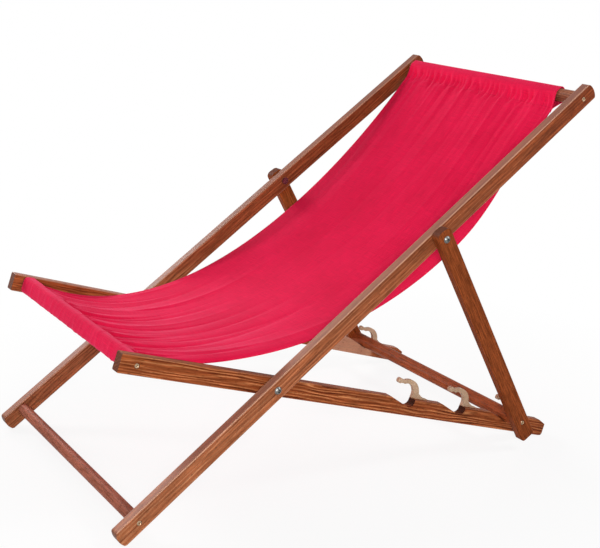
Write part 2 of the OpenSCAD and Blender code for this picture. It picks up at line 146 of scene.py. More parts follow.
def oiled_hardwood(name, node, turn, pith, ring=4.6, warp=1.0, bold=0.8, light="#b26a3e", mid="#99512b",
                   dark="#6a2c10", streak=0.5, fibre=50, across=False, far_tint="#ffffff", top_sheen=0.0,
                   arris_highlight=0.35, lit_patch=None, gloss=0.1):
    """Planed, oiled hardwood board. Growth rings are cylinders about a pith line beside the board,
    warped by slow noise, so its faces show long dark lines that wander and fade; fibres and pores
    run with them, the cut ends are darker and the arrises are painted paler as a highlight.

    turn is the board's slope in the side view, and pith the pith line's place from the board's
    middle, across it and up its depth. ring is the width of a growth ring, warp how far the rings
    wander, bold the strength of their lines, streak that of the fibres and fibre their length.
    far_tint is the tint at the board's far end, top_sheen the paleness of its upper face, a painted
    sheen, arris_highlight that of its arrises, a painted highlight, and lit_patch the reach of a
    painted pool of light from the board's middle. Sizes are millimetres."""
    material, tree = new_material(name)
    low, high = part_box(node)
    middle = (Vector(low) + Vector(high)) / 2
    long = (high[0] - low[0]) / MM if across else math.hypot(high[1] - low[1], high[2] - low[2]) / MM
    rotation = (0, 0, math.pi / 2) if across else (turn, 0, 0)
    length_axis = (1, 0, 0) if across else (0, math.cos(turn), math.sin(turn))
    up_axis = Vector((0, 0, 1)) if across else Vector((0, -math.sin(turn), math.cos(turn)))
    side_axis = Vector((0, 1, 0)) if across else Vector((1, 0, 0))
    place = middle + side_axis * pith[0] * MM + up_axis * pith[1] * MM
    coords = add(tree, "TexCoord")

    def grain_space(width, length):
        """Coordinates in pattern sizes: width across the grain and length along it, in mm."""
        return add(tree, "Mapping", {
            "Vector": coords.outputs["Object"], "Location": place, "Rotation": rotation,
            "Scale": (width * MM, length * MM, width * MM),
        }, vector_type="TEXTURE").outputs[0]

    def facing(axis):
        """How squarely the surface faces along an axis, from -1 to 1."""
        return add(tree, "VectorMath", {0: coords.outputs["Normal"], 1: axis},
                   operation="DOT_PRODUCT").outputs["Value"]

    # The rings wander sideways by about one ring over a hand's breadth of length
    wander = add(tree, "TexNoise", {"Vector": grain_space(17, 150), "Scale": 1.0, "Detail": 1.0})
    centred = add(tree, "VectorMath", {0: wander.outputs["Color"], 1: (0.5, 0.5, 0.5)},
                  operation="SUBTRACT")
    pushed = add(tree, "VectorMath", {0: centred.outputs[0], "Scale": 5.0 * warp}, operation="SCALE")
    ring_space = add(tree, "VectorMath", {0: grain_space(ring, 15 * ring), 1: pushed.outputs[0]},
                     operation="ADD")
    # One stripe of the wave is one growth ring, drawn out 15 times along the board
    rings = add(tree, "TexWave", {
        "Vector": ring_space.outputs[0], "Scale": STRIPE, "Distortion": 3.0, "Detail": 2.0,
        "Detail Scale": 0.9, "Detail Roughness": 0.5,
    }, wave_type="RINGS", rings_direction="Y", wave_profile="SAW").outputs["Fac"]
    figure = add(tree, "ValToRGB", {"Fac": rings}, stops=[
        (0.0, linear(mid)), (0.2, linear(mid)), (0.4, linear(light)), (0.58, linear(mid)),
        (0.8, linear(dark)), (0.93, linear(dark)), (1.0, linear(mid)),
    ]).outputs[0]
    # Lines strong in some places and faint in others, patches 10 mm wide and 110 mm long
    patches = add(tree, "TexNoise", {"Vector": grain_space(10, 110), "Scale": 1.0, "Detail": 1.0})
    strength = add(tree, "MapRange", {
        "Value": patches.outputs["Fac"], "From Min": 0.36, "From Max": 0.6, "To Min": 0.25 * bold,
        "To Max": bold,
    }).outputs[0]
    surface = add(tree, "Mix", {0: strength, 6: linear(mid), 7: figure}, data_type="RGBA").outputs[2]

    # Tones multiplied in, each with its share
    tones = []
    # Fibres 1.2 mm wide and 50 mm long or more: real ones are finer, drawn coarser so that they show
    fibres = add(tree, "TexNoise", {
        "Vector": grain_space(1.2, fibre), "Scale": 1.0, "Detail": 3.0, "Roughness": 0.6,
    }).outputs["Fac"]
    fibre_tone = add(tree, "ValToRGB", {"Fac": fibres}, stops=[
        (0.32, grey(0.4)), (0.5, grey(1.0)), (0.7, grey(1.6)),
    ])
    tones.append((streak, fibre_tone.outputs[0]))
    # Mottling where the fibres dip in and out of the face, 3 mm wide and 28 mm long
    mottle = add(tree, "TexNoise", {"Vector": grain_space(3, 28), "Scale": 1.0, "Detail": 2.0})
    mottle_tone = add(tree, "ValToRGB", {"Fac": mottle.outputs["Fac"]}, stops=[
        (0.32, linear("#c4b6a4")), (0.5, grey(1.0)), (0.7, (1.25, 1.16, 1.12, 1.0)),
    ])
    tones.append((0.7, mottle_tone.outputs[0]))
    # Slow changes of tone along the board, a hand's breadth long
    drift = add(tree, "TexNoise", {"Vector": grain_space(22, 160), "Scale": 1.0, "Detail": 2.0})
    drift_tone = add(tree, "ValToRGB", {"Fac": drift.outputs["Fac"]}, stops=[
        (0.3, grey(0.8)), (0.7, grey(1.16)),
    ])
    tones.append((1.0, drift_tone.outputs[0]))
    # The board's tone shifts towards far_tint from one end to the other: the tint grows evenly from end
    # to end
    spot = add(tree, "SeparateXYZ", {0: grain_space(1, 1)}).outputs["Y"]
    run = add(tree, "MapRange", {"Value": spot, "From Min": -long / 2, "From Max": long / 2})
    ends_tint = add(tree, "Mix", {0: run.outputs[0], 6: grey(1.0), 7: linear(far_tint)},
                    data_type="RGBA")
    tones.append((1.0, ends_tint.outputs[2]))
    for share, tone in tones:
        surface = add(tree, "Mix", {0: share, 6: surface, 7: tone},
                      data_type="RGBA", blend_type="MULTIPLY").outputs[2]

    # Tints laid over, each where its mask is above 0
    tints = []
    if lit_patch:
        # Painted pool of light: a pale area between two places along the board, with soft ragged ends
        ragged = add(tree, "Math", {0: fibres, 1: 24.0, 2: spot}, operation="MULTIPLY_ADD").outputs[0]
        rise = add(tree, "MapRange", {
            "Value": ragged, "From Min": lit_patch[0], "From Max": lit_patch[0] + 40, "To Max": 0.62,
        })
        fall = add(tree, "MapRange", {
            "Value": ragged, "From Min": lit_patch[1], "From Max": lit_patch[1] + 12, "To Min": 1.0,
            "To Max": 0.0,
        })
        patch = add(tree, "Math", {0: rise.outputs[0], 1: fall.outputs[0]}, operation="MULTIPLY")
        tints.append((patch, "#c59a7e"))
    # Open pores: dark flecks 1 mm wide and 9 mm long, sparse
    pores = add(tree, "TexNoise", {"Vector": grain_space(1.0, 9), "Scale": 1.0, "Detail": 1.0})
    pore_mask = add(tree, "MapRange", {
        "Value": pores.outputs["Fac"], "From Min": 0.64, "From Max": 0.72, "To Max": 0.8,
    })
    tints.append((pore_mask, "#3f2015"))
    up = facing(up_axis)
    if top_sheen:
        # Painted sheen: the upper face is painted paler and greyer, as a reflection of bright
        # surroundings makes it
        top_sheen_mask = add(tree, "MapRange", {"Value": up, "From Min": 0.75, "From Max": 0.97, "To Max": top_sheen})
        tints.append((top_sheen_mask, "#b48678"))
    if not across:
        # Painted highlight: the rounded arrises are painted paler; the product of the two facings is
        # greatest half way round
        both = add(tree, "Math", {0: up, 1: facing(side_axis)}, operation="MULTIPLY")
        both = add(tree, "Math", {0: both.outputs[0]}, operation="ABSOLUTE")
        arris = add(tree, "MapRange", {
            "Value": both.outputs[0], "From Min": 0.15, "From Max": 0.42, "To Max": arris_highlight,
        })
        tints.append((arris, "#d9ae95"))
    # Cut ends soak up more oil: where the surface faces along the board it turns dark; in the notches
    # this darkening is painted shade as well
    facing_end = add(tree, "Math", {0: facing(length_axis)}, operation="ABSOLUTE")
    end_grain_and_shade_mask = add(tree, "MapRange", {
        "Value": facing_end.outputs[0], "From Min": 0.35, "From Max": 0.85, "To Max": 0.75,
    })
    tints.append((end_grain_and_shade_mask, "#5d3a30"))
    # Painted shade in the notches, more than 40 mm from the ends: darker still
    from_middle = add(tree, "Math", {0: spot}, operation="ABSOLUTE")
    inside = add(tree, "MapRange", {
        "Value": from_middle.outputs[0], "From Min": long / 2 - 45, "From Max": long / 2 - 40,
        "To Min": 1.0, "To Max": 0.0,
    })
    notch_shade_mask = add(tree, "Math", {0: inside.outputs[0], 1: end_grain_and_shade_mask.outputs[0]}, operation="MULTIPLY")
    tints.append((notch_shade_mask, "#2c1209"))
    for mask, code in tints:
        surface = add(tree, "Mix", {0: mask.outputs[0], 6: surface, 7: linear(code)},
                      data_type="RGBA").outputs[2]

    relief = add(tree, "Math", {0: rings, 1: fibres}, operation="ADD")
    bump = add(tree, "Bump", {"Height": relief.outputs[0], "Strength": 0.2, "Distance": 0.2 * MM})
    rough = add(tree, "MapRange", {
        "Value": fibres, "From Min": 0.3, "From Max": 0.7, "To Min": 0.36, "To Max": 0.5,
    })
    shader = add(tree, "BsdfPrincipled", {
        "Base Color": surface, "Roughness": rough.outputs[0], "IOR": 1.5,
        "Specular IOR Level": gloss, "Normal": bump.outputs[0],
    })
    add(tree, "OutputMaterial", {"Surface": shader.outputs[0]})
    return material


# The canvas's own map is its flat cut in metres divided by this, so that it fits in one square
MAP_SIZE = 1.4


def woven_canvas():
    """Piece-dyed cotton canvas in plain weave: matt, with a soft fuzz that pales it at a slant."""
    material, tree = new_material("crimson_plain_woven_cotton_canvas")
    coords = add(tree, "TexCoord")
    flat = add(tree, "Mapping", {"Vector": coords.outputs["UV"], "Scale": (MAP_SIZE,) * 3}).outputs[0]
    # Threads every 0.9 mm; real ones are about 0.5 mm, drawn coarser so that they show
    thread = 0.9 * MM
    warp, weft = (
        add(tree, "TexWave", {"Vector": flat, "Scale": STRIPE / thread},
            wave_type="BANDS", bands_direction=axis).outputs["Fac"] for axis in ("X", "Y")
    )
    over = add(tree, "TexChecker", {"Vector": flat, "Scale": 1 / thread})
    weave = add(tree, "Mix", {0: over.outputs["Fac"], 2: warp, 3: weft}, data_type="FLOAT").outputs[0]
    # Slubs: threads that are thicker for 30 mm or so, across and along the cloth
    slubs = []
    for scale in ((1100, 32, 1), (32, 1100, 1)):
        spaced = add(tree, "Mapping", {"Vector": flat, "Scale": scale})
        slubs.append(add(tree, "TexNoise", {"Vector": spaced.outputs[0], "Scale": 1.0, "Detail": 1.0}))
    slub = add(tree, "Math", {0: slubs[0].outputs["Fac"], 1: slubs[1].outputs["Fac"]}, operation="ADD")
    thread_tone = add(tree, "MapRange", {
        "Value": slub.outputs[0], "From Min": 0.7, "From Max": 1.3, "To Min": 0.86, "To Max": 1.1,
    })
    # Shadows between the threads
    gap = add(tree, "MapRange", {
        "Value": weave, "From Min": 0.0, "From Max": 0.5, "To Min": 0.8, "To Max": 1.0,
    })
    # Dye takes a little unevenly, in patches about 100 mm wide
    cloud = add(tree, "TexNoise", {"Vector": flat, "Scale": 9.0, "Detail": 3.0})
    surface = add(tree, "ValToRGB", {"Fac": cloud.outputs["Fac"]}, stops=[
        (0.3, linear("#e31745")), (0.7, linear("#f01b4d")),
    ]).outputs[0]
    for share, tone in ((1.0, thread_tone), (0.6, gap)):
        surface = add(tree, "Mix", {0: share, 6: surface, 7: tone.outputs[0]},
                      data_type="RGBA", blend_type="MULTIPLY").outputs[2]
    bump = add(tree, "Bump", {"Height": weave, "Strength": 0.2, "Distance": 0.2 * MM})
    shader = add(tree, "BsdfPrincipled", {
        "Base Color": surface, "Roughness": 0.85, "IOR": 1.5, "Specular IOR Level": 0.04,
        "Sheen Weight": 0.21, "Sheen Roughness": 0.4, "Sheen Tint": linear("#ff9cc8"),
        "Normal": bump.outputs[0],
    })
    add(tree, "OutputMaterial", {"Surface": shader.outputs[0]})
    return material


def sewing_thread():
    """Spun polyester thread, a shade darker than the cloth, with a twist every 0.6 mm."""
    material, tree = new_material("crimson_spun_polyester_thread")
    coords = add(tree, "TexCoord")
    twist = add(tree, "TexWave", {"Vector": coords.outputs["Object"], "Scale": 520.0},
                wave_type="BANDS", bands_direction="DIAGONAL")
    tone = add(tree, "ValToRGB", {"Fac": twist.outputs["Fac"]}, stops=[
        (0.2, linear("#b8143a")), (0.8, linear("#d81f48")),
    ])
    shader = add(tree, "BsdfPrincipled", {
        "Base Color": tone.outputs[0], "Roughness": 0.7, "IOR": 1.5, "Specular IOR Level": 0.04,
    })
    add(tree, "OutputMaterial", {"Surface": shader.outputs[0]})
    return material


def moulded_nylon():
    """Injection-moulded nylon in beige: satin, a little cloudy, with the mould's fine sparked skin."""
    material, tree = new_material("beige_moulded_nylon")
    coords = add(tree, "TexCoord")
    # Clouds of about 17 mm
    cloud = add(tree, "TexNoise", {"Vector": coords.outputs["Object"], "Scale": 60.0, "Detail": 2.0})
    tone = add(tree, "ValToRGB", {"Fac": cloud.outputs["Fac"]}, stops=[
        (0.35, linear("#ae8f73")), (0.65, linear("#bd9f84")),
    ])
    # Sparked skin: pits of about 0.5 mm
    skin = add(tree, "TexNoise", {"Vector": coords.outputs["Object"], "Scale": 2000.0, "Detail": 1.0})
    bump = add(tree, "Bump", {"Height": skin.outputs["Fac"], "Strength": 0.1, "Distance": 0.1 * MM})
    shader = add(tree, "BsdfPrincipled", {
        "Base Color": tone.outputs[0], "Roughness": 0.5, "IOR": 1.53, "Specular IOR Level": 0.25,
        "Subsurface Weight": 0.08, "Subsurface Radius": (0.004, 0.003, 0.002),
        "Subsurface Scale": 1.0, "Normal": bump.outputs[0],
    })
    add(tree, "OutputMaterial", {"Surface": shader.outputs[0]})
    return material


def plated_steel(name, low, high, reach):
    """Zinc-plated steel, cold-headed: its colour between low and high, faintly mottled by the
    plating, with painted shade as far as reach in its corners, in millimetres."""
    material, tree = new_material(name)
    coords = add(tree, "TexCoord")
    # Plating blooms of about 3 mm
    bloom = add(tree, "TexNoise", {"Vector": coords.outputs["Object"], "Scale": 350.0, "Detail": 3.0})
    tone = add(tree, "ValToRGB", {"Fac": bloom.outputs["Fac"]}, stops=[
        (0.35, linear(low)), (0.65, linear(high)),
    ])
    # Painted shade in the recess and round the rim: darker where the surface is hemmed in
    hemmed = add(tree, "AmbientOcclusion", {"Distance": reach * MM}, samples=8)
    recess_shade = add(tree, "Mix", {0: 0.9, 6: tone.outputs[0], 7: hemmed.outputs["AO"]},
                data_type="RGBA", blend_type="MULTIPLY")
    rough = add(tree, "MapRange", {
        "Value": bloom.outputs["Fac"], "From Min": 0.3, "From Max": 0.7, "To Min": 0.25, "To Max": 0.42,
    })
    shader = add(tree, "BsdfPrincipled", {
        "Base Color": recess_shade.outputs[2], "Metallic": 1.0, "Roughness": rough.outputs[0],
    })
    add(tree, "OutputMaterial", {"Surface": shader.outputs[0]})
    return material


# Meshes

def make_piece(name, points, faces, material, smooth=True):
    """Object at the origin from an array of points and a list of faces."""
    mesh = bpy.data.meshes.new(name)
    mesh.from_pydata(points.reshape(-1, 3), [], faces)
    mesh.materials.append(material)
    mesh.polygons.foreach_set("use_smooth", np.full(len(mesh.polygons), smooth))
    mesh.update()
    piece = bpy.data.objects.new(name, mesh)
    bpy.context.collection.objects.link(piece)
    return piece


def unit(p):
    """Vectors of length 1: p / |p|."""
    return p / np.linalg.norm(p, axis=-1, keepdims=True)


def left_of(p):
    """Side-view vectors turned a quarter to the left: (y, z) to (-z, y)."""
    return np.stack([-p[..., 1], p[..., 0]], axis=-1)


def ease(t):
    """Smooth step: 0 up to t = 0, then 3 t^2 - 2 t^3, and 1 from t = 1 on."""
    t = np.clip(t, 0, 1)
    return t * t * (3 - 2 * t)


# Canvas sling. Its side view is a function of the distance along it and of v, from 0 at the
# sitter's right edge to 1 at the left. All its numbers are millimetres until the mesh is made.

# Width and thickness of the cloth, and the width over which its long edges are turned under, where
# no ridge or stitch begins
CLOTH_W, CLOTH_T, HEM_W = 480.0, 0.9, 5.0
# Where the run between the bars is pulled to from each bar, in the side view: in the middle, then
# what that changes from the right edge to the left, and what more at the left edge, which hangs
# deeper behind the near rail
SEAT_PULL = np.array([(367, -133), (104, 58), (-132, 37)])
BACK_PULL = np.array([(-215, -284), (18, -18), (-43, -146)])
# How far the canvas has slid towards the sitter's right on the head bar, and how far its left edge
# pulls in just below that bar
SHIFT, PULL_IN = 17.0, 16.0
# Distances from the middle of each bar to the seam of its sleeve, and of a seam from the run's line
FRONT_HANG, HEAD_HANG, SEAM_SIDE = 24.0, 34.0, 8.0
# Radius of a sleeve's rounds and half the flat between them
WRAP_R, WRAP_FLAT = 12.75, 3.0
# Depth of the middle of the canvas below its edges
SAG = 3.0
# Columns of the mesh, and its rows: distances from each seam, closer where the cloth puckers
ACROSS = 300
BY_SEAM = np.array([0, 0.9, 1.8, 2.8, 4, 5.5, 7.5, 10, 13, 17, 22, 28, 35, 44, 56, 71])
TAIL_ROWS = [7, 4, 2, 0]

# Rows of ridges: count; whether they start by the head seam, else by the front one, and how far past
# it; the least and greatest reach, width and height; lean; and whether some go down
GATHERS = [
    (30, False, 4, (18, 60), (2.4, 4.6), (0.6, 1.7), 0.12, False),
    (34, False, 2, (14, 50), (2.2, 3.8), (-4.0, -1.6), 0.14, False),
    (30, False, -56, (26, 60), (2.4, 5.2), (0.2, 0.8), 0.3, False),
    (24, True, 6, (18, 40), (2.6, 4.2), (1.2, 3.0), 0.14, False),
    (34, True, 11, (18, 38), (2.8, 4.4), (-9.0, -4.0), 0.16, False),
]
LONG_FOLDS = [
    (34, True, -4, (80, 260), (3.0, 6.0), (0.7, 1.6), 0.04, True),
    (14, True, -60, (350, 800), (6.0, 12.0), (0.9, 2.1), 0.02, True),
    (30, False, 10, (120, 420), (2.0, 4.2), (1.3, 3.0), 0.05, True),
    (12, False, 14, (300, 700), (8.0, 13.0), (3.5, 6.5), 0.05, True),
]


def side_curve(a, b, c, d, t):
    """Cubic curve from a to d at t: a (1-t)^3 + 3 b t (1-t)^2 + 3 c t^2 (1-t) + d t^3."""
    return a * (1 - t) ** 3 + 3 * b * t * (1 - t) ** 2 + 3 * c * t ** 2 * (1 - t) + d * t ** 3


def sleeve_loop(centre, seam, long_axis, steps):
    """Way round a bar, from the tangent point below the seam to the one above it: a squared circle
    |x|**4 + |y|**4 = WRAP_R**4, its halves parted by WRAP_FLAT each way along long_axis."""
    arm = seam - centre
    middle = np.arctan2(arm[:, 1], arm[:, 0])
    half = np.arccos(WRAP_R / np.linalg.norm(arm, axis=-1))
    share = np.linspace(0, 1, steps)[:, None]
    angle = middle - half - share * (2 * np.pi - 2 * half)
    a, b = np.abs(np.cos(angle - long_axis)), np.abs(np.sin(angle - long_axis))
    radius = WRAP_R * (a ** 4 + b ** 4) ** (-1 / 4)
    flat = WRAP_FLAT * np.sign(np.cos(angle - long_axis))
    along = np.array([math.cos(long_axis), math.sin(long_axis)])
    round_way = np.stack([np.cos(angle), np.sin(angle)], -1)
    return centre + flat[..., None] * along + radius[..., None] * round_way


def between(a, b, steps):
    """Points on the straight lines from a to b, both ends left out."""
    share = np.linspace(0, 1, steps + 2)[1:-1, None, None]
    return a + (b - a) * share


def ridges(s, x, span, count, from_head, start, reach, width, height, lean, signed):
    """Sum of long ridges. Each has a centre line x0 + lean * (s - start), a section
    exp(-(sqrt(d * d + 2) - 1.4) / width) that is sharp at its crest, and grows at start and dies
    away over its own reach along the cloth."""
    edge = CLOTH_W / 2 - HEM_W
    x0 = np.linspace(-edge, edge, count) + rng.uniform(-0.4, 0.4, count) * 2 * edge / count
    w = rng.uniform(*width, count)
    h = rng.uniform(*height, count) * (rng.choice([-1, 1], count) if signed else 1)
    far = rng.uniform(*reach, count)
    slant = rng.normal(0, lean, count)
    from_start = (s - start - (span if from_head else 0))[:, None]
    total = np.zeros((len(s), len(x)))
    for k in range(count):
        offset = x[None, :] - x0[k] - slant[k] * from_start
        body = np.exp(-(np.sqrt(offset ** 2 + 2) - 1.4) / w[k])
        total += h[k] * body * (1 - ease(np.abs(from_start) / far[k]))
    return total


def creases(at, x, span, facing_down):
    """Height of the cloth off its middle surface: gathers by both seams, long folds from the front
    bar and fine long ones under the head bar, and a groove along each seam."""
    puckers = sum(ridges(at, x, span, *row) for row in GATHERS)
    lift = sum(ridges(at, x, span, *row) for row in LONG_FOLDS)
    # Long folds die out before the bars; puckers reach over them
    lift *= (ease((at + 34) / 26) * (1 - ease((at - span - 10) / 26)))[:, None]
    lift += puckers
    # The thread holds the folds flatter, and pulls the cloth in by 0.8 mm
    for seam in (0, span):
        lift *= 1 - 0.4 * np.exp(-((at - seam) / 3.5) ** 2)[:, None]
        lift -= 0.8 * np.exp(-((at - seam) / 2.4) ** 2)[:, None]
    # Creases die out on the bars, where only ridges that stand off the wood have room
    on_top = ease((at + 90) / 24) * (1 - ease((at - span - 26) / 20))
    clear = ease((at + 20) / 10) * (1 - ease((at - span - 16) / 13))
    lift *= on_top[:, None]
    lift = np.where(lift < 0, lift * clear[:, None], lift)
    ends = np.where(facing_down, -ease((at + 10) / 10) * ease((span + 10 - at) / 10), 1.0)
    return lift * ends[:, None]


def canvas_grid():
    """Middle surface of the canvas: its points, the distances along and across it, and the rows of
    its two seams."""
    v = np.linspace(0, 1, ACROSS + 1)
    half = v - 0.5
    # The last share is for the left edge: 1 there, and 0 in the middle and at the right edge
    shares = np.stack([np.ones(len(v)), half, 2 * half * v], -1)
    seat_pull, back_pull = shares @ SEAT_PULL, shares @ BACK_PULL
    front, head = front_at / MM, head_at / MM
    front_seam = front + FRONT_HANG * unit(seat_pull) + SEAM_SIDE * left_of(unit(seat_pull))
    head_seam = head + HEAD_HANG * unit(back_pull) - SEAM_SIDE * left_of(unit(back_pull))
    controls = front_seam, front + seat_pull, head + back_pull, head_seam

    # Rows close together by the seams, wider apart in the middle
    fine = np.linspace(0, 1, 801)
    strides = np.diff(side_curve(*controls, fine[:, None, None]), axis=0)
    walked = np.pad(np.cumsum(np.linalg.norm(strides, axis=-1), axis=0), ((1, 0), (0, 0)))
    span = walked[-1, ACROSS // 2]
    stops = np.concatenate([BY_SEAM, np.linspace(90, span - 90, 56), (span - BY_SEAM)[::-1]])
    # Each column is cut at the same shares of its own length, so that the weave stays square
    columns = np.stack([np.interp(stops / span, w / w[-1], fine) for w in walked.T], axis=1)
    t = columns[:, ACROSS // 2]
    run = side_curve(*controls, columns[..., None])
    run_normal = left_of(unit(np.gradient(run, axis=0)))

    # Each sleeve: out from 1.3 mm under the seam, round the bar and back to the seam
    under = run - 1.3 * run_normal
    front_tail = under[TAIL_ROWS]
    head_tail = under[[-1 - k for k in TAIL_ROWS[::-1]]]
    front_wrap = sleeve_loop(front, front_seam, seat_turn + math.pi / 2, 20)
    head_wrap = sleeve_loop(head, head_seam, back_turn + math.pi / 2, 16)
    parts = [
        front_tail, between(front_tail[-1], front_wrap[0], 4), front_wrap,
        between(front_wrap[-1], run[0], 4), run, between(run[-1], head_wrap[0], 4), head_wrap,
        between(head_wrap[-1], head_tail[0], 4), head_tail,
    ]
    path = np.concatenate(parts)
    first = sum(len(p) for p in parts[:4])
    last = first + len(t) - 1
    share = np.concatenate([np.zeros(first), t, np.ones(len(path) - last - 1)])

    # s is the distance along the cloth at its middle, from 0 at the front seam
    step = np.linalg.norm(np.diff(path[:, ACROSS // 2], axis=0), axis=1)
    s = np.append(0, np.cumsum(step))
    s -= s[first]
    x = half * CLOTH_W

    # The hems, and the four rows from each to its bar, lie under the run by the seams, so they take
    # the same creases, seen from below
    hem = np.append(BY_SEAM[TAIL_ROWS], [-2.5, -5, -7.5, -10])
    rows = len(hem)
    at, facing_down = s.copy(), np.zeros(len(s), dtype=bool)
    at[:rows], at[-rows:] = hem, (span - hem)[::-1]
    facing_down[:rows] = facing_down[-rows:] = True
    lift = creases(at, x, span, facing_down)
    lift -= SAG * np.sin(np.pi * v) * np.sin(np.pi * share)[:, None]

    drift = SHIFT * ease((share - 0.3) / 0.65)
    pull_in = PULL_IN * ease((share - 0.68) / 0.2) * (1 - ease((share - 0.9) / 0.1))
    points = np.empty((*lift.shape, 3))
    points[..., 0] = x - drift[:, None] - pull_in[:, None] * ease((v - 0.55) / 0.45)
    points[..., 1:] = path + lift[..., None] * left_of(unit(np.gradient(path, axis=0)))
    return points, s, x, (first, last)


def surface_normals(points):
    """Cross product of the two directions of the grid, pointing to the sitter's side."""
    return unit(np.cross(np.gradient(points, axis=1), np.gradient(points, axis=0)))


def shell_faces(rows, columns):
    """Faces of a closed sheet: an upper grid, a lower one after it, and the four rims."""
    index = np.arange(rows * columns).reshape(rows, columns)
    a, b, c, d = index[:-1, :-1], index[:-1, 1:], index[1:, 1:], index[1:, :-1]
    upper = np.stack([a, b, c, d], -1).reshape(-1, 4)
    under = upper[:, ::-1] + rows * columns
    rims = []
    for edge in (index[0, ::-1], index[-1], index[:, 0], index[::-1, -1]):
        p, q = edge[:-1], edge[1:]
        rims.append(np.stack([p, q, q + rows * columns, p + rows * columns], -1))
    return np.concatenate([upper, under, *rims])


def hang_canvas(material):
    """Canvas sling: the middle surface, thickened both ways by half the cloth. Its long edges are
    1.6 times as thick over HEM_W, where they are turned under."""
    points, s, x, seam_rows = canvas_grid()
    normals = surface_normals(points)
    from_edge = CLOTH_W / 2 - np.abs(x)
    thick = CLOTH_T * (1 + 0.6 * (1 - ease((from_edge - HEM_W) / 2)))
    offset = normals * thick[None, :, None] / 2
    both = np.stack([points + offset, points - offset]) * MM
    faces = shell_faces(len(s), len(x))
    piece = make_piece("canvas_sling_cloth", both, faces.tolist(), material)

    flat = np.stack(np.meshgrid((x + CLOTH_W / 2) * MM, (s - s[0]) * MM), -1) / MAP_SIZE
    flat = np.concatenate([flat.reshape(-1, 2)] * 2)
    corners = np.empty(len(piece.data.loops), dtype=np.int32)
    piece.data.loops.foreach_get("vertex_index", corners)
    piece.data.uv_layers.new(name="flat_cut").data.foreach_set("uv", flat[corners].ravel())

    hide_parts("canvas_sling")
    return piece, points, normals, seam_rows, s


# Stitches: distance from one to the next, half length, radius, and places above and below the cloth
STITCH_PITCH, STITCH_HALF, STITCH_R = 3.6, 1.3, 0.35
STITCH_ABOVE, STITCH_BELOW = 0.62, 2.0


def sew_seams(points, normals, rows, material):
    """Stitches across both seams, above and below. Each is a spindle of five sides: rings of radius
    STITCH_R * sqrt(1 - a * a) along a from -1 to 1, lying across the cloth."""
    edge = CLOTH_W / 2 - HEM_W
    places = np.arange(-edge, edge + 0.1, STITCH_PITCH)
    column = (places + CLOTH_W / 2) / CLOTH_W * ACROSS
    left = np.floor(column).astype(int)
    part = (column - left)[:, None]
    a = np.array([-0.8, 0.0, 0.8])
    radius = STITCH_R * np.sqrt(1 - a ** 2)
    k = np.arange(5)
    turn = k * 2 * np.pi / 5
    n = (k + 1) % 5
    quads = np.concatenate([np.stack([k + r, n + r, n + r + 5, k + r + 5], -1) for r in (0, 5)])
    caps = np.concatenate([
        np.stack([n, k, np.full(5, 15)], -1), np.stack([k + 10, n + 10, np.full(5, 16)], -1),
    ])
    pieces = []
    for row, name, body in zip(rows, ("front_seam_stitches", "head_seam_stitches"),
                               ("seat_frame", "back_frame")):
        at = points[row, left] * (1 - part) + points[row, left + 1] * part
        along = unit(points[row, left + 1] - points[row, left])
        up = normals[row, left]
        over = np.cross(along, up)
        spots = np.concatenate([at + up * STITCH_ABOVE, at - up * STITCH_BELOW])
        along, up, over = (np.concatenate([q, q]) for q in (along, up, over))
        ring = (
            spots[:, None, None] + along[:, None, None] * (STITCH_HALF * a)[None, :, None, None]
            + radius[None, :, None, None] * (
                up[:, None, None] * np.cos(turn)[None, None, :, None]
                + over[:, None, None] * np.sin(turn)[None, None, :, None])
        )
        tips = spots[:, None] + along[:, None] * np.array([-STITCH_HALF, STITCH_HALF])[None, :, None]
        stitches = np.concatenate([ring.reshape(len(spots), 15, 3), tips], axis=1)
        first = (np.arange(len(spots)) * stitches.shape[1])[:, None, None]
        faces = (quads + first).reshape(-1, 4).tolist() + (caps + first).reshape(-1, 3).tolist()
        piece = make_piece(name, stitches * MM, faces, material)
        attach(piece, body)
        pieces.append(piece)
    return pieces


def round_hook(node, material):
    """Moulded hook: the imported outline, its flat faces joined again, with every edge rounded by
    0.6 mm, as a mould leaves it."""
    mesh = bpy.data.meshes.new("moulded_" + node)
    work = bmesh.new()
    work.from_mesh(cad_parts[node].data)
    bmesh.ops.remove_doubles(work, verts=work.verts, dist=1e-6)
    bmesh.ops.dissolve_limit(work, angle_limit=math.radians(1), verts=work.verts, edges=work.edges)
    for face in work.faces:
        face.smooth = True
    work.to_mesh(mesh)
    work.free()
    mesh.materials.clear()
    mesh.materials.append(material)
    piece = bpy.data.objects.new("moulded_" + node, mesh)
    bpy.context.collection.objects.link(piece)
    bevel = piece.modifiers.new("rounded edges", "BEVEL")
    bevel.width, bevel.segments = 0.6 * MM, 3
    bevel.limit_method, bevel.angle_limit = "ANGLE", math.radians(35)
    bevel.harden_normals = True
    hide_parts(node)
    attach(piece, "seat_frame")


# Profile of a bar screw: depths below its head's face and radii, from the socket to the tip, in mm
SCREW_PROFILE = [
    (2.1, 2.5), (0.3, 2.7), (0, 3.1), (0.2, 3.9), (0.9, 4.5), (2.4, 4.5), (2.4, 2.2), (34, 2.2),
]


